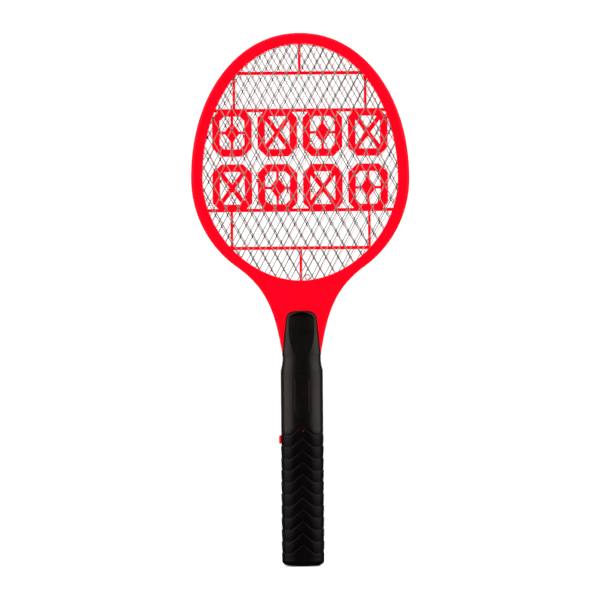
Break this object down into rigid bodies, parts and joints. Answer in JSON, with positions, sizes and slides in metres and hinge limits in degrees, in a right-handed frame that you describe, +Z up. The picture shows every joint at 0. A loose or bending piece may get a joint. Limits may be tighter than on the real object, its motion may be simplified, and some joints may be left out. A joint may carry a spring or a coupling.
{
  "type": "electric fly swatter",
  "caption": "Handheld battery fly swatter: a red racket head with expanded metal meshes and a brick grille, on a black ribbed handle with a side push button.",
  "frame": {"origin": "centre of the flat butt of the handle, where the part stands upright", "axes": "+Z up the handle to the head, -Y out of the front face, +X to the right seen from the front"},
  "size_m": [0.1842, 0.0294, 0.45],
  "materials": {
    "red_plastic": "satin moulded red plastic",
    "mesh_metal": "expanded metal sheet, dull",
    "wire": "plain wire",
    "black_plastic": "fine moulded texture",
    "button_plastic": "smooth red plastic",
    "switch_plastic": "plain black plastic",
    "lamp_resin": "diffused red resin",
    "board": "green solder mask",
    "ferrite": "sintered ferrite",
    "winding_tape": "yellow tape over the winding",
    "capacitor_coat": "dipped epoxy",
    "diode_body": "moulded epoxy",
    "resistor_coat": "beige lacquer",
    "cell_case": "printed sleeve over a steel can",
    "contact_metal": "nickel plated",
    "screw_metal": "zinc plated",
    "red_insulation": "soft PVC insulation",
    "black_insulation": "soft PVC insulation",
    "white_insulation": "soft PVC insulation"
  },
  "bodies": {
    "racket": {"front_frame": "red_plastic", "rear_frame": "red_plastic", "brick_grille": "red_plastic", "rear_spacer": "red_plastic", "front_mesh": "mesh_metal", "centre_mesh": "mesh_metal", "rear_mesh": "mesh_metal", "mesh_eyelet": "wire", "front_shell": "black_plastic", "rear_shell": "black_plastic", "switch_housing": "switch_plastic", "indicator_led": "lamp_resin", "led_legs": "wire", "circuit_board": "board", "transformer_core": "ferrite", "transformer_winding": "winding_tape", "storage_capacitor": "capacitor_coat", "output_capacitor": "capacitor_coat", "rectifier_diodes": "diode_body", "resistors": "resistor_coat", "oscillator_transistor": "diode_body", "left_cell": "cell_case", "right_cell": "cell_case", "lower_contact": "contact_metal", "positive_contact": "contact_metal", "negative_contact": "contact_metal", "lower_contact_spring": "contact_metal", "upper_contact_spring": "contact_metal", "shell_screws": "screw_metal", "battery_lead_positive": "red_insulation", "battery_lead_negative": "black_insulation", "centre_mesh_lead": "red_insulation", "front_mesh_lead": "white_insulation", "rear_mesh_lead": "white_insulation"},
    "button": {"power_button": "button_plastic", "switch_plunger": "switch_plastic"},
    "door": {"battery_door": "black_plastic"}
  },
  "joints": [
    {"name": "power_button_press", "type": "slide", "parent": "racket", "child": "button", "axis": [1, 0, 0], "range_m": [0, 0.0014], "stiffness_N_per_m": 600, "springref_m": -0.0005},
    {"name": "battery_door_slide", "type": "slide", "parent": "racket", "child": "door", "axis": [0, 0, -1], "range_m": [0, 0.072]}
  ]
}
